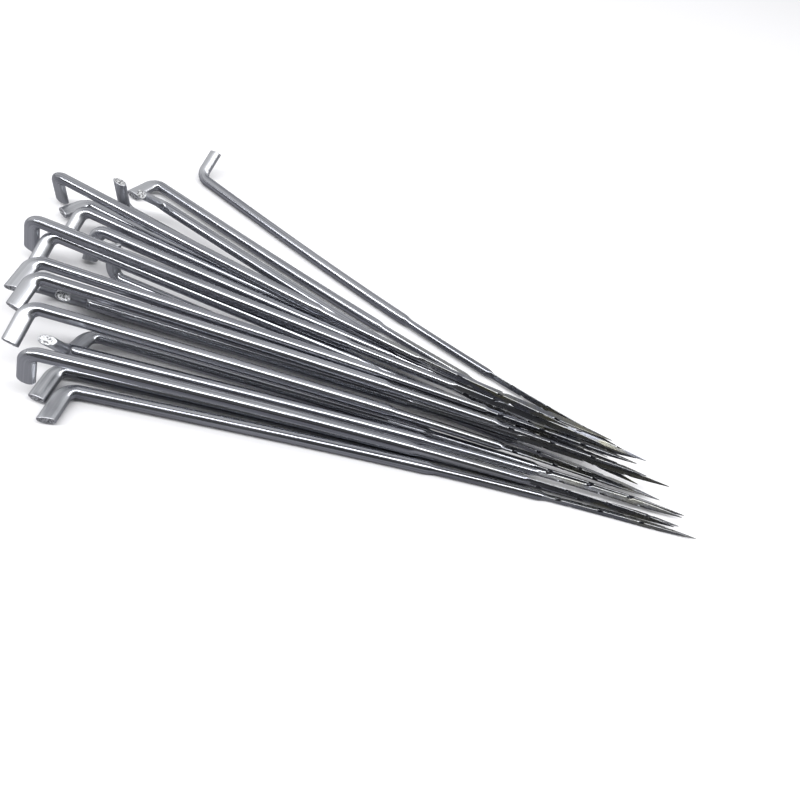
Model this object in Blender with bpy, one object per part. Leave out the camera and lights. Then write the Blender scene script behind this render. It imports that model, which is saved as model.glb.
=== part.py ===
"""A loose fan-shaped pile of cranked steel needles for felting, lying on a flat surface.

Each needle is one piece of wire: a flattened crank leg, a round shank, a thinner
middle, and a three-sided blade that ends in a point. Metres, +Z up. The points lie
towards +X and the origin is under the middle of the pile.
"""

import math

import bmesh
import bpy
import numpy as np

MM = 0.001

# One needle, measured from the corner of its crank to its point
LENGTH = 88 * MM
SHANK_END = 47.5 * MM
MIDDLE_END = 64 * MM
TAPER = 1.6 * MM
POINT_LENGTH = 8 * MM
SHANK_RADIUS = 0.875 * MM
MIDDLE_RADIUS = 0.65 * MM
BLADE_RADIUS = 0.53 * MM
BLADE_FLAT = 0.32 * MM
POINT_RADIUS = 0.05 * MM

# The crank leg, bent from the shank and pressed flat
CRANK_LENGTH = 5.4 * MM
CRANK_TURN = math.radians(85)
BEND_RADIUS = 1.7 * MM
CRANK_HALF_WIDTH = 1.12 * MM
CRANK_HALF_THICKNESS = 0.68 * MM
CRANK_REACH = 1.2 * MM
BEND_LENGTH = BEND_RADIUS * math.tan(CRANK_TURN / 2)

# How a needle lies: it bends gently with its heading, and keeps a small gap to what it
# rests on. BALANCE is its centre of mass, from the crank's corner.
BOW_PER_DEGREE = -0.33 * MM
GAP = 0.08 * MM
BALANCE = 36 * MM
STEEPEST_SLOPE = 0.16
SLOPE_STEPS = 641
SAMPLE_STEP = 0.5 * MM
CRANK_SAMPLE_STEP = 0.25 * MM
EDGE_OF_CRANK = 0.75

# Mesh fineness
SIDES = 12
BEND_STEPS = 4
FLATTEN = 1.2

STEEL_COLOUR = (0.36, 0.37, 0.38, 1.0)
STEEL_ROUGHNESS = 0.3

# Each needle in the order laid: x and y of its crank's corner in millimetres, the
# heading of its shank in degrees, and how far its crank is rolled from straight down
# towards the near side, in degrees.
PILE = (
    (-40.2, -20.2, 9.5, 85),
    (-48.4, 34.6, -19, 230),
    (-43.0, -17.6, 8.5, 85),
    (-42.6, -10.6, 5.5, 100),
    (-47.0, 2.4, -2.5, 195),
    (-53.3, 27.3, -15, 85),
    (-54.1, 18.4, -10, 175),
    (-48.6, 20.1, -14, 130),
    (-52.1, -4.9, 4.5, 135),
    (-59.3, 16.0, -9.5, 95),
    (-42.4, -16.7, 9, 145),
    (-46.7, -5.8, 3.5, 135),
    (-55.8, 1.6, -1.5, 50),
    (-51.3, 6.3, -3.5, 25),
    (-56.5, 10.6, -5.5, 50),
    (-52.4, -6.8, 4.5, 75),
    (-58.2, 1.1, -0.5, 5),
    (-63.0, 14.2, -9.5, -10),
    (-50.2, -10.0, 6, 70),
    (-48.0, -14.7, 8.5, 60),
    (-43.1, -22.2, 11, 0),
)


def wire_radius(along):
    """Radius of the round wire at a distance from the crank's corner."""
    stations = (0, SHANK_END, SHANK_END + TAPER, MIDDLE_END, MIDDLE_END + TAPER)
    radii = (SHANK_RADIUS, SHANK_RADIUS, MIDDLE_RADIUS, MIDDLE_RADIUS, BLADE_RADIUS)
    stations += (LENGTH - POINT_LENGTH, LENGTH)
    radii += (BLADE_RADIUS, POINT_RADIUS)
    return np.interp(along, stations, radii)


def shank_line(along, bow):
    """Points on the bowed axis: sideways offset bow * (u cubed - u), u from 0 to 1."""
    share = along / LENGTH
    return np.stack([along, bow * (share**3 - share), 0 * along], axis=1)


def turned(points, axis, angle):
    """The points turned about X (0), Y (1) or Z (2) by the right-hand rule."""
    first, second = (axis + 1) % 3, (axis + 2) % 3
    result = points.copy()
    result[:, first] = points[:, first] * math.cos(angle) - points[:, second] * math.sin(angle)
    result[:, second] = points[:, first] * math.sin(angle) + points[:, second] * math.cos(angle)
    return result


def rolled(points, roll, bow):
    """Points of the crank, drawn hanging down in the XZ plane, rolled and set on the bow's slope."""
    return turned(turned(points, 0, -roll), 2, -bow / LENGTH)


def bend_points(angles):
    """Centre line of the bend, at angles from the shank (0) to the leg (CRANK_TURN)."""
    x = BEND_LENGTH - BEND_RADIUS * np.sin(angles)
    z = BEND_RADIUS * (np.cos(angles) - 1)
    return np.stack([x, 0 * angles, z], axis=1)


def leg_points(reach):
    """Centre line of the straight leg, at distances from the crank's corner."""
    return np.stack([reach * -math.cos(CRANK_TURN), 0 * reach, reach * -math.sin(CRANK_TURN)], axis=1)


def placed(points, x, y, z, heading, slope):
    """Points of one needle taken from its own frame to where it lies."""
    lying = turned(turned(points, 1, -math.atan(slope)), 2, heading)
    return lying + np.array([x, y, z])


def needle_spheres(bow, roll):
    """Centres and radii of spheres that fill one needle, and where its leg starts in them."""
    along = np.linspace(BEND_LENGTH, LENGTH, round(LENGTH / SAMPLE_STEP))
    angles = np.linspace(0.1, 1, 6) * CRANK_TURN
    reach = np.arange(BEND_LENGTH, CRANK_LENGTH, CRANK_SAMPLE_STEP)
    crank = rolled(np.concatenate([bend_points(angles), leg_points(reach)]), roll, bow)
    centres = np.concatenate([shank_line(along, bow), crank])
    bend_radii = np.linspace(SHANK_RADIUS, CRANK_REACH, len(angles))
    radii = np.concatenate([wire_radius(along), bend_radii, np.full(len(reach), CRANK_REACH)])
    return centres, radii, len(along) + len(angles)


def standing_heights(centres, radii, leg_start, laid):
    """The lowest height of each sphere on the surface alone, and the same with what lies there."""
    floor = radii - centres[:, 2]
    leg = centres[-1] - centres[leg_start]
    level = math.hypot(leg[0], leg[1]) / np.linalg.norm(leg)
    floor[leg_start:] = EDGE_OF_CRANK * level * radii[leg_start:] - centres[leg_start:, 2]
    if not laid:
        return floor
    below = np.concatenate(laid)
    apart = np.hypot(*(centres[:, None, :2] - below[None, :, :2]).transpose(2, 0, 1))
    touching = radii[:, None] + below[None, :, 3] + GAP
    rise = np.sqrt(np.maximum(touching**2 - apart**2, 0))
    heights = np.where(apart < touching, below[None, :, 2] + rise, -1) - centres[:, 2, None]
    return np.maximum(floor, heights.max(axis=1))


def laid_down(x, y, heading, roll, bow, laid):
    """Height and slope at which a needle comes to rest: its centre of mass is as low as it can be."""
    centres, radii, leg_start = needle_spheres(bow, roll)
    flat = placed(centres, x, y, 0, heading, 0)
    heights = standing_heights(flat, radii, leg_start, laid)
    slopes = np.linspace(-STEEPEST_SLOPE, STEEPEST_SLOPE, SLOPE_STEPS)
    head = (heights[None, :] - slopes[:, None] * centres[None, :, 0]).max(axis=1)
    best = np.argmin(head + slopes * BALANCE)
    spheres = placed(centres, x, y, head[best], heading, slopes[best])
    return head[best], slopes[best], np.column_stack([spheres, radii])


def round_section(radius, angles):
    """A circle: first column across the bend plane's normal, second along it."""
    return radius * np.stack([np.cos(angles), np.sin(angles)], axis=1)


def flat_section(angles):
    """The pressed crank: a rounded bar, wide in the bend plane and flat on both sides."""
    wide = np.clip(FLATTEN * np.cos(angles), -1, 1) * CRANK_HALF_WIDTH
    thick = np.clip(FLATTEN * np.sin(angles), -1, 1) * CRANK_HALF_THICKNESS
    return np.stack([wide, thick], axis=1)


def blade_section(radius, angles):
    """The blade: three flats, and three edges at the given radius."""
    from_flat = (angles % math.radians(120)) - math.radians(60)
    flat = BLADE_FLAT / BLADE_RADIUS * radius / np.cos(from_flat)
    edge = np.minimum(flat, radius)
    return edge[:, None] * np.stack([np.cos(angles), np.sin(angles)], axis=1)


def needle_rings(bow, roll):
    """The cross-sections of one needle from its cut end to its point, in its own frame."""
    angles = np.arange(SIDES) * math.tau / SIDES
    crank_rings = []
    for reach in (CRANK_LENGTH, BEND_LENGTH):
        centre = leg_points(np.array([reach]))[0]
        crank_rings.append(crank_ring(centre, CRANK_TURN, flat_section(angles)))
    for step in range(BEND_STEPS - 1, 0, -1):
        share = step / BEND_STEPS
        section = share * flat_section(angles) + (1 - share) * round_section(SHANK_RADIUS, angles)
        centre = bend_points(np.array([share * CRANK_TURN]))[0]
        crank_rings.append(crank_ring(centre, share * CRANK_TURN, section))
    rings = [rolled(ring, roll, bow) for ring in crank_rings]
    stations = [BEND_LENGTH, *np.linspace(SHANK_END / 4, SHANK_END, 4), SHANK_END + TAPER]
    stations += [(SHANK_END + TAPER + MIDDLE_END) / 2, MIDDLE_END, MIDDLE_END + TAPER]
    stations += [(MIDDLE_END + TAPER + LENGTH - POINT_LENGTH) / 2, LENGTH - POINT_LENGTH]
    stations.append(LENGTH - 2 * POINT_RADIUS)
    for along in stations:
        radius = float(wire_radius(along))
        if along > MIDDLE_END:
            section = blade_section(radius, angles)
        else:
            section = round_section(radius, angles)
        upright = np.column_stack([0 * angles, section[:, 1], section[:, 0]])
        rings.append(turned(upright, 0, -roll) + shank_line(np.array([along]), bow))
    return rings


def crank_ring(centre, angle, section):
    """A cross-section of the crank, square to its centre line at an angle round the bend."""
    outward = np.array([-math.sin(angle), 0, math.cos(angle)])
    across = np.array([0, 1, 0])
    return centre + section[:, :1] * outward + section[:, 1:] * across


def needle_mesh(name, bow, roll):
    """Bridge the rings into one closed skin, with a flat cut end and a pointed tip."""
    model = bmesh.new()
    loops = [[model.verts.new(point) for point in ring] for ring in needle_rings(bow, roll)]
    model.faces.new(loops[0])
    for near, far in zip(loops, loops[1:]):
        for side in range(SIDES):
            after = (side + 1) % SIDES
            model.faces.new((near[side], near[after], far[after], far[side]))
    point = model.verts.new((LENGTH, 0, 0))
    for side in range(SIDES):
        model.faces.new((loops[-1][side], loops[-1][(side + 1) % SIDES], point))
    bmesh.ops.recalc_face_normals(model, faces=model.faces)
    mesh = bpy.data.meshes.new(name)
    model.to_mesh(mesh)
    model.free()
    mesh.shade_smooth()
    mesh.set_sharp_from_angle(angle=math.radians(35))
    return mesh


def steel(name):
    """Bright drawn steel wire."""
    material = bpy.data.materials.new(name)
    material.use_nodes = True
    shader = material.node_tree.nodes["Principled BSDF"]
    shader.inputs["Base Color"].default_value = STEEL_COLOUR
    shader.inputs["Metallic"].default_value = 1.0
    shader.inputs["Roughness"].default_value = STEEL_ROUGHNESS
    return material


def build_pile():
    """Lay the needles one by one, then centre the pile over the origin."""
    laid = []
    needles = []
    for number, (x, y, heading_degrees, roll_degrees) in enumerate(PILE, start=1):
        bow = BOW_PER_DEGREE * heading_degrees
        heading = math.radians(heading_degrees)
        roll = math.radians(roll_degrees)
        height, slope, spheres = laid_down(x * MM, y * MM, heading, roll, bow, laid)
        laid.append(spheres)
        name = f"needle_{number:02d}"
        needle = bpy.data.objects.new(name, needle_mesh(name, bow, roll))
        needle.data.materials.append(steel(f"{name}_steel"))
        needle.location = (x * MM, y * MM, height)
        needle.rotation_euler = (0, -math.atan(slope), heading)
        bpy.context.scene.collection.objects.link(needle)
        needles.append(needle)
    bpy.context.view_layer.update()
    corners = [needle.matrix_world @ vertex.co for needle in needles for vertex in needle.data.vertices]
    low = np.min(corners, axis=0)
    high = np.max(corners, axis=0)
    middle = (low + high) / 2
    for needle in needles:
        needle.location.x -= middle[0]
        needle.location.y -= middle[1]
        needle.location.z -= low[2]


for old in list(bpy.data.objects):
    bpy.data.objects.remove(old, do_unlink=True)
build_pile()
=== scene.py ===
"""A loose fan-shaped pile of cranked felting needles on a pale surface: the finished look."""

import math

import bpy
import numpy as np
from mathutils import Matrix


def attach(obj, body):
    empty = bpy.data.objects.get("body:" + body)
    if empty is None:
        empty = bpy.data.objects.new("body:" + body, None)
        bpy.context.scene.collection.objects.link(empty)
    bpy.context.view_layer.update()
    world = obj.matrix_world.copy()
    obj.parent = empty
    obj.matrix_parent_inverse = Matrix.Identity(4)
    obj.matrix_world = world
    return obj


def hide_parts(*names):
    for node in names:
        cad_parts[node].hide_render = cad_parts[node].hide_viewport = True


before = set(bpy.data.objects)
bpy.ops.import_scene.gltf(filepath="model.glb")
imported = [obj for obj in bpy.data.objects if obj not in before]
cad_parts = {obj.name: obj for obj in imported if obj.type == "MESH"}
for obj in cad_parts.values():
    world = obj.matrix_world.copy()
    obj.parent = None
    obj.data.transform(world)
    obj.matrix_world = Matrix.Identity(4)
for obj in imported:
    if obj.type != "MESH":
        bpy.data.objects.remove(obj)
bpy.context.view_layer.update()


# ---------------------------------------------------------------- How each needle lies
# A needle is one straight length of wire with its head cranked over, and it lies where its
# CAD body lies. The sharp end and the flat cut end of that body fix its place, and the
# heading, tilt and roll follow from them.

MM = 0.001
LENGTH = 88 * MM
CRANK_LENGTH = 5.4 * MM
CRANK_TURN = math.radians(85)
BOW_PER_RADIAN = -0.33 * MM * math.degrees(1)

# The cut end is a flat under CUT_ACROSS wide, in triangles of at least LEAST_AREA, whose points
# lie within ON_PLANE of one plane and whose normals have a cosine over SAME_WAY between them.
CUT_ACROSS = 3 * MM
LEAST_AREA = 0.001 * MM**2
ON_PLANE = 0.005 * MM
SAME_WAY = 0.999


def turned(points, axis, angle):
    """The points turned about X (0), Y (1) or Z (2): one coordinate times the cosine less the next
    times the sine, and the other way round."""
    first, second = (axis + 1) % 3, (axis + 2) % 3
    result = points.copy()
    result[..., first] = points[..., first] * math.cos(angle) - points[..., second] * math.sin(angle)
    result[..., second] = points[..., first] * math.sin(angle) + points[..., second] * math.cos(angle)
    return result


def lie_of(name):
    """Corner of the crank, heading, tilt, bow and roll of a CAD needle. The point is the vertex
    farthest from the middle, and the cut end is the small flat that most vertices lie on and none
    lies beyond."""
    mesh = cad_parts[name].data
    mesh.calc_loop_triangles()
    places = np.empty(len(mesh.vertices) * 3, np.float32)
    mesh.vertices.foreach_get("co", places)
    places = places.reshape(-1, 3).astype(float)
    triangles = np.empty(len(mesh.loop_triangles) * 3, np.int32)
    mesh.loop_triangles.foreach_get("vertices", triangles)
    corners = places[triangles.reshape(-1, 3)]
    normals = np.cross(corners[:, 1] - corners[:, 0], corners[:, 2] - corners[:, 0])
    areas = np.linalg.norm(normals, axis=1) / 2
    normals /= np.maximum(areas, LEAST_AREA**2)[:, None] * 2
    spans = np.linalg.norm(corners - np.roll(corners, 1, axis=1), axis=2).max(axis=1)
    point = places[np.argmax(np.linalg.norm(places - places.mean(axis=0), axis=1))]

    plane_heights = np.einsum("nk,nk->n", corners[:, 0], normals)
    beyond = np.einsum("pk,nk->np", places, normals) - plane_heights[:, None]
    outermost = (beyond < ON_PLANE).all(axis=1) & (areas > LEAST_AREA) & (spans < CUT_ACROSS)
    held = (np.abs(beyond) < ON_PLANE).sum(axis=1) * outermost
    facing = normals[np.argmax(held)]
    cap = outermost & (normals @ facing > SAME_WAY)
    cut_middle = np.average(corners.mean(axis=1)[cap], axis=0, weights=areas[cap])

    corner = cut_middle - facing * CRANK_LENGTH
    run = point - corner
    heading = math.atan2(run[1], run[0])
    tilt = math.atan2(run[2], math.hypot(run[0], run[1]))
    bow = BOW_PER_RADIAN * heading
    leg = turned(turned(turned(facing, 2, -heading), 1, tilt), 2, bow / LENGTH)
    roll = math.atan2(-leg[1], -leg[2])
    return corner, heading, tilt, bow, roll


# ---------------------------------------------------------------- The needles
# Each is carbon steel wire, drawn round and bright, swaged down to a thinner middle and
# rolled into a three-sided blade whose edges are notched with barbs. The head is bent over,
# pressed flat in the same stroke, and sheared off.

# Along the wire, from the corner of the crank to the point; the fullness is the power by which
# the blade narrows over the point's length
SHANK_END = 47.5 * MM
MIDDLE_END = 64 * MM
TAPER = 1.6 * MM
POINT_LENGTH = 8 * MM
POINT_FULLNESS = 1.7

# Across it; the hardness is the power of the soft minimum that joins the flats to the edges
SHANK_RADIUS = 0.875 * MM
MIDDLE_RADIUS = 0.65 * MM
BLADE_RADIUS = 0.53 * MM
BLADE_FLAT = 0.32 * MM
POINT_RADIUS = 0.05 * MM
EDGE_HARDNESS = 14

# The crank and its sheared end. The squareness and the slant, in degrees, vary between needles,
# and the slant's direction turns by up to SLANT_SWAY radians either way.
BEND_RADIUS = 1.7 * MM
BEND_LENGTH = BEND_RADIUS * math.tan(CRANK_TURN / 2)
BEND_ARC = BEND_RADIUS * CRANK_TURN
CRANK_HALF_WIDTH = 1.12 * MM
CRANK_HALF_THICKNESS = 0.68 * MM
LEAST_SQUARE = 2.0
MOST_SQUARE = 2.7
LEAST_SLANT = 5
MOST_SLANT = 16
SLANT_SWAY = 0.5
CUT_ROUNDING = 0.14 * MM
CUT_ROUGHNESS = 0.035 * MM

# The barbs
BARBS_PER_EDGE = 3
BARB_SPACING = 6.3 * MM
FIRST_BARB = 4.8 * MM
BARB_KICK_UP = 0.06 * MM
BARB_KICK_LENGTH = 0.35 * MM
BARB_DEPTH = 0.2 * MM
BARB_THROAT = 0.9 * MM
BARB_WIDTH = math.radians(24)
BARB_FULL_WIDTH = 0.2

# The finish: the rolls darken the middle in part and the blade in full, each over ROLLED_FADE.
# Edges carry a painted highlight and barb tips a painted glint, the pressed heads are lighter
# and satin, and the throats of the barbs are painted black as shade.
ROLLED_FADE = 9 * MM
ROLLED_MIDDLE = 0.4
LEAST_DARK = 0.55
EDGE_HIGHLIGHT_HALF_WIDTH = math.radians(7)
THROAT_PAINTED_SHADE = 6
BARB_TIP_PAINTED_GLINT = 4
PRESSED_SHINE = 0.6

# Fineness of the mesh
SIDES = 48
EDGE_CROWDING = 0.22
CUT_RINGS = 8
RIM_STEPS = 4
RIM_CLEARANCE = 1.3
LEG_STEP = 0.2 * MM
BEND_STEPS = 16
SHANK_STEPS = 30
TAPER_STEPS = 7
MIDDLE_STEPS = 10
BLADE_STEP = 0.09 * MM
SHARP_EDGE = math.radians(32)


def smooth(share):
    """Three times the square less twice the cube, from 0 to 1."""
    share = np.clip(share, 0, 1)
    return share * share * (3 - 2 * share)


def stations():
    """Distances along the wire from the corner of the crank to each ring of the mesh. The bend and
    the leg lie before BEND_LENGTH, and run back by the length of the arc and of the leg."""
    leg = CRANK_LENGTH - BEND_LENGTH
    start = BEND_LENGTH - BEND_ARC - leg
    rim = start + CUT_ROUNDING * (1 - np.cos(np.linspace(0, math.pi / 2, RIM_STEPS + 1)))
    return np.concatenate([
        rim,
        np.linspace(start + RIM_CLEARANCE * CUT_ROUNDING, start + leg, round(leg / LEG_STEP)),
        np.linspace(start + leg, BEND_LENGTH, BEND_STEPS)[1:],
        np.linspace(BEND_LENGTH, SHANK_END, SHANK_STEPS)[1:],
        np.linspace(SHANK_END, SHANK_END + TAPER, TAPER_STEPS)[1:],
        np.linspace(SHANK_END + TAPER, MIDDLE_END, MIDDLE_STEPS)[1:],
        np.linspace(MIDDLE_END, MIDDLE_END + TAPER, 2 * TAPER_STEPS)[1:],
        np.arange(MIDDLE_END + TAPER + BLADE_STEP, LENGTH - 2 * POINT_RADIUS, BLADE_STEP),
    ])


def flat_round(half_width, half_thickness, squareness, angles):
    """Radius of a superellipse: the width and thickness shares of a direction, each to the power
    of the squareness, sum to one."""
    wide = np.abs(np.cos(angles) / half_width) ** squareness
    thick = np.abs(np.sin(angles) / half_thickness) ** squareness
    return (wide + thick) ** (-1 / squareness)


def barb_notches(along, angles):
    """What each barb adds to an edge: a short rise towards its tip, a sharp drop just past it
    towards the point, and a slow climb out. It is full over the inner fifth of its width, and
    fades evenly to each side of that."""
    added = np.zeros(np.broadcast_shapes(along.shape, angles.shape))
    for edge in range(3):
        aside = (angles - edge * math.tau / 3 + math.pi) % math.tau - math.pi
        weight = np.clip((1 - np.abs(aside) / BARB_WIDTH) / (1 - BARB_FULL_WIDTH), 0, 1)
        for number in range(BARBS_PER_EDGE):
            tip = LENGTH - FIRST_BARB - (number + edge / 3) * BARB_SPACING
            past = along - tip
            rise = BARB_KICK_UP * (1 + past / BARB_KICK_LENGTH)
            drop = -BARB_DEPTH * (1 - past / BARB_THROAT)
            shape = np.where((past > -BARB_KICK_LENGTH) & (past < 0), rise, 0)
            shape += np.where((past >= 0) & (past < BARB_THROAT), drop, 0)
            added += shape * weight
    return added


def section_radius(along, angles, squareness):
    """Distance of the skin from the axis: a circle on the shank and the middle, a superellipse on
    the pressed crank, and on the blade a soft minimum of three flats and an edge circle. The blade
    keeps its size and then narrows ever faster to the point, by a power of the way there."""
    pressed = smooth((BEND_LENGTH - along) / BEND_ARC)
    half_width = SHANK_RADIUS + pressed * (CRANK_HALF_WIDTH - SHANK_RADIUS)
    half_thickness = SHANK_RADIUS + pressed * (CRANK_HALF_THICKNESS - SHANK_RADIUS)
    crank = flat_round(half_width, half_thickness, 2 + pressed * (squareness - 2), angles)
    swaged = smooth((along - SHANK_END) / TAPER)
    wire = crank + swaged * (MIDDLE_RADIUS - SHANK_RADIUS)

    to_point = np.clip((along - (LENGTH - POINT_LENGTH)) / POINT_LENGTH, 0, 1)
    fineness = 1 - to_point**POINT_FULLNESS * (1 - POINT_RADIUS / BLADE_RADIUS)
    from_flat = angles % (math.tau / 3) - math.tau / 6
    flats = BLADE_FLAT * fineness / np.cos(from_flat)
    edges = BLADE_RADIUS * fineness
    blade = (flats**-EDGE_HARDNESS + edges**-EDGE_HARDNESS) ** (-1 / EDGE_HARDNESS)
    blade = blade + barb_notches(along, angles)
    rolled = smooth((along - MIDDLE_END) / TAPER)
    return wire + rolled * (blade - wire)


def centre_line(along):
    """Points of the axis and the angle it has turned there: straight along X, then an arc down,
    then the straight leg at CRANK_TURN."""
    angle = np.clip((BEND_LENGTH - along) / BEND_RADIUS, 0, CRANK_TURN)
    down_leg = np.clip(BEND_LENGTH - BEND_ARC - along, 0, None)
    x = np.maximum(along, BEND_LENGTH) - BEND_RADIUS * np.sin(angle) - down_leg * math.cos(CRANK_TURN)
    z = BEND_RADIUS * (np.cos(angle) - 1) - down_leg * math.sin(CRANK_TURN)
    return np.stack([x, 0 * x, z], axis=-1), angle


def finish_of(along, angles):
    """How far the rolls have darkened the skin, and where the colour is lightened (over 0) or
    painted black (under 0): a painted highlight on the edges by their angle, painted shade in the
    barb throats and a painted glint on the barb tips by their notches, and the lighter pressed
    finish on the head by how far it is pressed."""
    on_middle = smooth((along - SHANK_END) / ROLLED_FADE)
    on_blade = smooth((along - MIDDLE_END) / ROLLED_FADE)
    rolled = ROLLED_MIDDLE * on_middle + (1 - ROLLED_MIDDLE) * on_blade
    aside = (angles + math.tau / 6) % (math.tau / 3) - math.tau / 6
    # Painted highlight: a lightened band along each blade edge.
    edge = smooth(1 - np.abs(aside) / EDGE_HIGHLIGHT_HALF_WIDTH) * smooth((along - MIDDLE_END) / TAPER)
    notch = barb_notches(along, angles) / BARB_DEPTH
    # Painted shade: the throat of each barb notch goes near black.
    painted_light_and_press = np.clip(edge - THROAT_PAINTED_SHADE * np.clip(-notch, 0, 1), -1, 1)
    # Painted glint: a lightened spot where each barb rises to its tip.
    painted_light_and_press += BARB_TIP_PAINTED_GLINT * np.clip(notch, 0, 1)
    # The pressed head: lighter and satin as its pressed finish.
    painted_light_and_press += PRESSED_SHINE * smooth((BEND_LENGTH - along) / BEND_ARC)
    return rolled, painted_light_and_press


def needle_skin(squareness, slant, slant_turn, shear_seed):
    """The skin as a grid of points, station by side, in the needle's own frame, with the rings
    of the cut face first, then where each point was on the straight wire, and its finish with
    its painted highlights, glints and throat shade. The sides crowd at the blade's three edges,
    by a sine of three times the angle. The cut is a plane slanted one way, so it only ever
    shortens the leg."""
    angles = np.arange(SIDES) * math.tau / SIDES
    angles = angles - EDGE_CROWDING * np.sin(3 * angles)
    along = stations()[:, None] + 0 * angles
    radius = section_radius(along, angles, squareness)
    start = along[0, 0]
    near_cut = np.clip((along - start) / CUT_ROUNDING, 0, 1)
    radius -= CUT_ROUNDING * (1 - np.sqrt(1 - (1 - near_cut) ** 2))
    rings = np.linspace(0, 1, CUT_RINGS + 1)[1:-1, None]
    cut_radius = radius[0] * rings
    radius = np.concatenate([cut_radius, radius])
    along = np.concatenate([start + 0 * cut_radius, along])

    leg = BEND_LENGTH - BEND_ARC - start
    across = radius * np.cos(angles - slant_turn)
    depth = math.tan(slant) * (CRANK_HALF_WIDTH + across)
    torn = np.random.default_rng(shear_seed).uniform(0, 1, (CUT_RINGS - 1, SIDES))
    depth[: CUT_RINGS - 1] += CUT_ROUGHNESS * (torn * rings * (1 - rings) * 4)
    along = along + depth * np.clip(1 - (along - start) / leg, 0, 1)

    centres, turn = centre_line(along)
    outward = np.stack([-np.sin(turn), 0 * turn, np.cos(turn)], axis=-1)
    sideways = np.array([0.0, 1.0, 0.0])
    skin = centres + outward * (radius * np.cos(angles))[..., None]
    skin = skin + sideways * (radius * np.sin(angles))[..., None]
    unrolled = np.stack([along, radius * np.cos(angles), radius * np.sin(angles)], axis=-1)
    return skin, unrolled, *finish_of(along, angles)


def laid(points, corner, heading, tilt, bow, roll):
    """A needle's own points where it lies: rolled, bowed sideways by bow times (u cubed less u),
    tilted, turned to its heading and moved to the corner of its crank."""
    rolled = turned(points, 0, -roll)
    share = rolled[..., 0] / LENGTH
    rolled[..., 1] += bow * (share**3 - share)
    return turned(turned(rolled, 1, -tilt), 2, heading) + corner


def skin_faces(rows):
    """Quads between neighbouring rings, and a fan of triangles round a pole at each end."""
    corner = np.arange(rows * SIDES).reshape(rows, SIDES)
    after = np.roll(corner, -1, axis=1)
    quads = np.stack([corner[:-1], corner[1:], after[1:], after[:-1]], axis=-1).reshape(-1, 4)
    cut_pole, point_pole = rows * SIDES, rows * SIDES + 1
    cut_fan = np.stack([0 * corner[0] + cut_pole, corner[0], after[0]], axis=-1)
    point_fan = np.stack([0 * corner[0] + point_pole, after[-1], corner[-1]], axis=-1)
    return quads.tolist() + cut_fan.tolist() + point_fan.tolist()


def keep(mesh, name, kind, field, grid, pole_values):
    """Stores a grid of values, and one for each pole, as a point attribute of the mesh."""
    values = np.concatenate([grid.reshape(-1, grid.shape[2]), pole_values]).astype(np.float32)
    mesh.attributes.new(name, kind, "POINT").data.foreach_set(field, values.ravel())


def needle_piece(name, number, materials):
    """One needle as a mesh, with a cut, a squareness and a darkness of its own. Its attributes
    keep the place along and round the straight wire in millimetres, a needle's length further on
    for each needle so that no two have the same grain, and its finish, with the painted
    highlights on its edges, painted glints on its barb tips and painted shade in its barb throats."""
    chance = np.random.default_rng(number)
    slant = math.radians(chance.uniform(LEAST_SLANT, MOST_SLANT))
    slant_turn = chance.choice([0, math.pi]) + chance.uniform(-SLANT_SWAY, SLANT_SWAY)
    squareness = chance.uniform(LEAST_SQUARE, MOST_SQUARE)
    darkness = chance.uniform(LEAST_DARK, 1)
    skin, unrolled, rolled, painted_light_and_press = needle_skin(squareness, slant, slant_turn, number)
    poles = np.stack([skin[0].mean(axis=0), [LENGTH, 0, 0]])
    points = np.concatenate([skin.reshape(-1, 3), poles])
    faces = skin_faces(len(skin))
    mesh = bpy.data.meshes.new(name)
    mesh.from_pydata(laid(points, *lie_of(name)), [], faces)

    unrolled[..., 0] += number * LENGTH
    keep(mesh, "along_and_round", "FLOAT_VECTOR", "vector", unrolled / MM, unrolled[[0, -1], 0] / MM)
    keep(mesh, "rolled", "FLOAT", "value", darkness * rolled[..., None], [[0], [darkness]])
    # This attribute holds the painted edge highlights, barb glints and throat shade, and the lighter
    # pressed head.
    keep(mesh, "painted_light_and_press", "FLOAT", "value", painted_light_and_press[..., None], [[0], [0]])

    for material in materials:
        mesh.materials.append(material)
    row = np.repeat(np.arange(len(skin) - 1), SIDES)
    on_cut = np.concatenate([row < CUT_RINGS - 1, np.full(SIDES, True), np.full(SIDES, False)])
    mesh.polygons.foreach_set("material_index", on_cut.astype(np.int32))
    mesh.update()
    mesh.shade_smooth()
    mesh.set_sharp_from_angle(angle=SHARP_EDGE)
    piece = bpy.data.objects.new(f"felting_{name}", mesh)
    bpy.context.scene.collection.objects.link(piece)
    return piece


def colour(hex_code):
    """An sRGB hex colour as linear RGBA: a channel over 0.04045 is (c + 0.055) / 1.055 to the
    power 2.4, and a lower one is c / 12.92."""
    channels = [int(hex_code[i : i + 2], 16) / 255 for i in (1, 3, 5)]
    return (*[((c + 0.055) / 1.055) ** 2.4 if c > 0.04045 else c / 12.92 for c in channels], 1)


def add_node(tree, kind, inputs=None, **settings):
    """One node with its settings, and each input set to a value or linked to another output."""
    node = tree.nodes.new(kind)
    for name, value in settings.items():
        setattr(node, name, value)
    for name, value in (inputs or {}).items():
        if isinstance(value, bpy.types.NodeSocket):
            tree.links.new(value, node.inputs[name])
        else:
            node.inputs[name].default_value = value
    return node


def new_material(name):
    """A material with a bare Principled shader, its node tree and that shader."""
    material = bpy.data.materials.new(name)
    material.use_nodes = True
    return material, material.node_tree, material.node_tree.nodes["Principled BSDF"]


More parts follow.
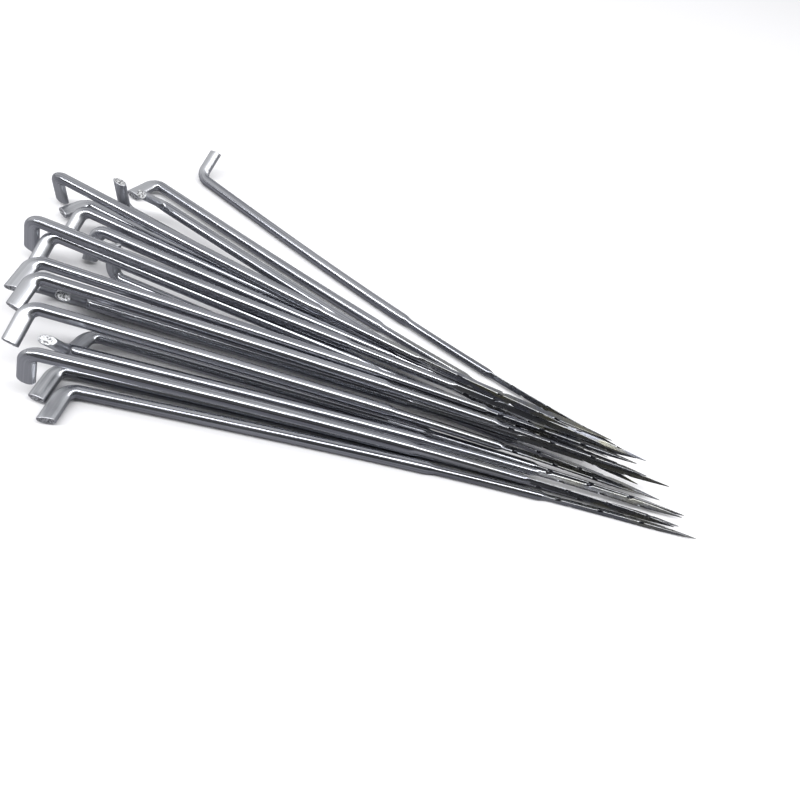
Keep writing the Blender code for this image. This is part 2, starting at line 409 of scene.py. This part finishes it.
def drawn_and_rolled_steel():
    """Carbon steel wire drawn bright through a die, which leaves hairlines along it, so that the
    highlight is a hard line in a faintly streaked grey. The rolled blade is darker and straw
    tinted, with a fine pebble from the rolls. Its edges are lighter and satin as a painted
    highlight, the barb tips are lighter as a painted glint, and the pressed head is lighter and
    satin, so that their highlight is a soft gradient; the throats of the barbs are painted black
    as shade."""
    material, tree, shader = new_material("drawn_and_rolled_steel")
    place = add_node(tree, "ShaderNodeAttribute", attribute_name="along_and_round").outputs["Vector"]
    rolled = add_node(tree, "ShaderNodeAttribute", attribute_name="rolled").outputs["Fac"]
    # This attribute carries the painted edge highlights, barb glints and throat shade, and the pressed
    # heads.
    painted_light_and_press = add_node(tree, "ShaderNodeAttribute", attribute_name="painted_light_and_press").outputs["Fac"]

    # A hairline is 0.25 mm wide and some 30 mm long; real ones are finer, so these are coarse.
    hairlines = add_node(tree, "ShaderNodeMapping", {"Vector": place, "Scale": (0.008, 1, 1)})
    streak = add_node(
        tree, "ShaderNodeTexNoise",
        {"Vector": hairlines.outputs[0], "Scale": 4.0, "Detail": 3.0, "Roughness": 0.6},
    ).outputs["Fac"]
    # A pebble of the rolled grain is 0.3 mm across and 1 mm long.
    stretched = add_node(tree, "ShaderNodeMapping", {"Vector": place, "Scale": (0.3, 1, 1)})
    pebble = add_node(
        tree, "ShaderNodeTexNoise",
        {"Vector": stretched.outputs[0], "Scale": 3.5, "Detail": 4.0, "Roughness": 0.65},
    ).outputs["Fac"]
    # The straw tint and the dull patches change over some 5 mm.
    patches = add_node(
        tree, "ShaderNodeTexNoise", {"Vector": stretched.outputs[0], "Scale": 0.6, "Detail": 3.0}
    ).outputs["Fac"]

    # Colour: streaked wire, then the tinted blade over it, then painted shade in the barb throats,
    # then painted highlights on the edges, painted glints on the barb tips and the lighter pressed
    # heads.
    streaked = add_node(
        tree, "ShaderNodeMapRange", {"Value": streak, "From Min": 0.38, "From Max": 0.62}
    )
    wire = add_node(
        tree, "ShaderNodeMix",
        {"Factor": streaked.outputs[0], "A": colour("#8A8C94"), "B": colour("#BCBEC4")},
        data_type="RGBA",
    )
    tint = add_node(tree, "ShaderNodeMapRange", {"Value": patches, "From Min": 0.45, "From Max": 0.6})
    blade = add_node(
        tree, "ShaderNodeMix",
        {"Factor": tint.outputs[0], "A": colour("#5A5C64"), "B": colour("#6C6A58")},
        data_type="RGBA",
    )
    surface = add_node(
        tree, "ShaderNodeMix",
        {"Factor": rolled, "A": wire.outputs["Result"], "B": blade.outputs["Result"]},
        data_type="RGBA",
    )
    # Painted shade in the barb throats: the colour goes to near black there.
    in_throat = add_node(tree, "ShaderNodeMapRange", {"Value": painted_light_and_press, "From Min": 0.0, "From Max": -1.0})
    throat = add_node(
        tree, "ShaderNodeMix",
        {"Factor": in_throat.outputs[0], "A": surface.outputs["Result"], "B": colour("#1E1F24")},
        data_type="RGBA",
    )
    # Painted highlights on the edges, painted glints on the barb tips and the lighter pressed heads
    # lighten the colour toward this grey.
    lightened = add_node(
        tree, "ShaderNodeMix",
        {"Factor": painted_light_and_press, "A": throat.outputs["Result"], "B": colour("#DCDEE2")},
        data_type="RGBA",
    )
    tree.links.new(lightened.outputs["Result"], shader.inputs["Base Color"])

    # Roughness: dull patches on the wire, the pebble on the blade, satin on the edges, the barb
    # tips and the pressed heads.
    dull = add_node(
        tree, "ShaderNodeMapRange",
        {"Value": patches, "From Min": 0.35, "From Max": 0.7, "To Min": 0.17, "To Max": 0.25},
    )
    pebbled = add_node(
        tree, "ShaderNodeMapRange",
        {"Value": pebble, "From Min": 0.3, "From Max": 0.7, "To Min": 0.2, "To Max": 0.36},
    )
    rough = add_node(
        tree, "ShaderNodeMix", {"Factor": rolled, "A": dull.outputs[0], "B": pebbled.outputs[0]}
    )
    satin = add_node(tree, "ShaderNodeMix", {"Factor": painted_light_and_press, "A": rough.outputs[0], "B": 0.42})
    tree.links.new(satin.outputs[0], shader.inputs["Roughness"])

    # Relief: 0.03 mm deep, at a tenth of its strength on the wire and half of it on the blade.
    relief = add_node(tree, "ShaderNodeMix", {"Factor": rolled, "A": streak, "B": pebble})
    depth = add_node(tree, "ShaderNodeMix", {"Factor": rolled, "A": 0.1, "B": 0.5})
    bump = add_node(
        tree, "ShaderNodeBump",
        {"Height": relief.outputs[0], "Strength": depth.outputs[0], "Distance": 0.03 * MM},
    )
    tree.links.new(bump.outputs[0], shader.inputs["Normal"])
    shader.inputs["Metallic"].default_value = 1.0
    return material


def sheared_steel():
    """Carbon steel torn by the shear that cut the head off: light and speckled, with dark pits."""
    material, tree, shader = new_material("sheared_steel")
    place = add_node(tree, "ShaderNodeAttribute", attribute_name="along_and_round").outputs["Vector"]
    # A torn grain is 0.3 mm across; real ones are finer, so these are coarse.
    grain = add_node(
        tree, "ShaderNodeTexNoise", {"Vector": place, "Scale": 3.5, "Detail": 5.0, "Roughness": 0.7}
    )
    torn = add_node(
        tree, "ShaderNodeMapRange", {"Value": grain.outputs["Fac"], "From Min": 0.42, "From Max": 0.55}
    )
    tone = add_node(
        tree, "ShaderNodeMix",
        {"Factor": torn.outputs[0], "A": colour("#55575C"), "B": colour("#F2F3F5")},
        data_type="RGBA",
    )
    tree.links.new(tone.outputs["Result"], shader.inputs["Base Color"])
    bump = add_node(
        tree, "ShaderNodeBump", {"Height": grain.outputs["Fac"], "Strength": 0.8, "Distance": 0.12 * MM}
    )
    tree.links.new(bump.outputs[0], shader.inputs["Normal"])
    shader.inputs["Metallic"].default_value = 1.0
    shader.inputs["Roughness"].default_value = 0.42
    return material


finishes = [drawn_and_rolled_steel(), sheared_steel()]
for number, name in enumerate(sorted(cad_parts), start=1):
    needle = needle_piece(name, number, finishes)
    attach(needle, name)
    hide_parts(name)


# ---------------------------------------------------------------- Table, light and camera
# The pile lies on a white table under one long strip softbox, which draws the hard line on each
# wire. The room on the strip's far side is mid grey and the room on its near side is dark, and
# that gives each wire its grey upper flank and its dark lower one.

# Metres, tones and radiances; the room turns from grey to dark between two cosines.
TABLE_HALF = 0.45
TABLE_BELOW = 0.03 * MM
TABLE_MIRRORED = (0.28, 0.28, 0.3, 1)
TABLE_SEEN = (0.92, 0.92, 0.94, 1)
STRIP_LENGTH = 2.4
STRIP_WIDTH = 0.13
STRIP_HEIGHT = 0.6
STRIP_MIDDLE = (-0.25, -0.34)
STRIP_HEADING = math.radians(22)
STRIP_RADIANCE = 9.0
GREY_ROOM = 0.72
DARK_ROOM = 0.1
GREY_ENDS = -0.05
DARK_STARTS = 0.2


def strip_direction():
    """Unit vectors along the strip and from the pile to its middle."""
    along = np.array([math.cos(STRIP_HEADING), math.sin(STRIP_HEADING), 0])
    middle = np.array([*STRIP_MIDDLE, STRIP_HEIGHT])
    return along, middle / np.linalg.norm(middle)


def table_top():
    """A square sheet just below the pile. The table is white laminate, and what the wires mirror
    of it is kept darker than what the camera sees, so that their lower flanks stay dark."""
    material, tree, shader = new_material("white_table")
    tree.nodes.remove(shader)
    seen = add_node(tree, "ShaderNodeLightPath").outputs["Is Camera Ray"]
    tone = add_node(
        tree, "ShaderNodeMix", {"Factor": seen, "A": TABLE_MIRRORED, "B": TABLE_SEEN},
        data_type="RGBA", clamp_result=False,
    )
    matt = add_node(tree, "ShaderNodeBsdfDiffuse", {"Color": tone.outputs["Result"]})
    tree.links.new(matt.outputs[0], tree.nodes["Material Output"].inputs["Surface"])
    mesh = bpy.data.meshes.new("table_top")
    sides = ((-1, -1), (1, -1), (1, 1), (-1, 1))
    corners = [(TABLE_HALF * x, TABLE_HALF * y, -TABLE_BELOW) for x, y in sides]
    mesh.from_pydata(corners, [], [(0, 1, 2, 3)])
    mesh.materials.append(material)
    table = bpy.data.objects.new("table_top", mesh)
    bpy.context.scene.collection.objects.link(table)


def strip_softbox():
    """An area light of a given radiance: its power is the radiance times its area times pi."""
    lamp = bpy.data.lights.new("strip_softbox", "AREA")
    lamp.shape = "RECTANGLE"
    lamp.size, lamp.size_y = STRIP_LENGTH, STRIP_WIDTH
    lamp.energy = STRIP_RADIANCE * STRIP_LENGTH * STRIP_WIDTH * math.pi
    light = bpy.data.objects.new("strip_softbox", lamp)
    along, towards = strip_direction()
    back = towards - along * (along @ towards)
    back /= np.linalg.norm(back)
    pose = np.eye(4)
    pose[:3] = np.column_stack([along, np.cross(back, along), back, [*STRIP_MIDDLE, STRIP_HEIGHT]])
    light.matrix_world = pose.T
    light.visible_camera = False
    bpy.context.scene.collection.objects.link(light)


def studio_room():
    """The room as a world: grey on the strip's far side, dark on its near side, by the dot
    product of a direction with the normal of the plane through the strip and the pile. Seen past
    the table's edge it is white."""
    world = bpy.data.worlds.new("studio_room")
    world.use_nodes = True
    tree = world.node_tree
    along, towards = strip_direction()
    near_side = np.cross(along, towards)
    near_side /= np.linalg.norm(near_side) * math.copysign(1, -near_side[1])
    direction = add_node(tree, "ShaderNodeTexCoord").outputs["Generated"]
    side = add_node(tree, "ShaderNodeVectorMath", {0: direction, 1: near_side}, operation="DOT_PRODUCT")
    tone = add_node(
        tree, "ShaderNodeMapRange",
        {"Value": side.outputs["Value"], "From Min": GREY_ENDS, "From Max": DARK_STARTS,
         "To Min": GREY_ROOM, "To Max": DARK_ROOM},
    )
    seen = add_node(tree, "ShaderNodeLightPath").outputs["Is Camera Ray"]
    strength = add_node(tree, "ShaderNodeMix", {"Factor": seen, "A": tone.outputs[0], "B": 1.0})
    tree.links.new(strength.outputs[0], tree.nodes["Background"].inputs["Strength"])
    tree.nodes["Background"].inputs["Color"].default_value = (1, 1, 1, 1)
    bpy.context.scene.world = world


table_top()
strip_softbox()
studio_room()
bpy.context.scene.view_settings.view_transform = "Standard"

CAMERA_ELEVATION = math.radians(46)
CAMERA_ROLL = math.radians(20.5)
CAMERA_DISTANCE = 102.87 * MM
CAMERA_LENS = 31.05
AIM = np.array([8.89, -6.75, 0.04]) * MM

back = np.array([0, -math.cos(CAMERA_ELEVATION), math.sin(CAMERA_ELEVATION)])
level_up = np.array([0, math.sin(CAMERA_ELEVATION), math.cos(CAMERA_ELEVATION)])
level_right = np.array([1.0, 0, 0])
right = math.cos(CAMERA_ROLL) * level_right + math.sin(CAMERA_ROLL) * level_up
up = -math.sin(CAMERA_ROLL) * level_right + math.cos(CAMERA_ROLL) * level_up
lens = bpy.data.cameras.new("camera")
lens.lens = CAMERA_LENS
lens.clip_start = 2 * MM
lens.clip_end = 20
camera = bpy.data.objects.new("camera", lens)
pose = np.eye(4)
pose[:3] = np.column_stack([right, up, back, AIM + back * CAMERA_DISTANCE])
camera.matrix_world = pose.T
bpy.context.scene.collection.objects.link(camera)
bpy.context.scene.camera = camera
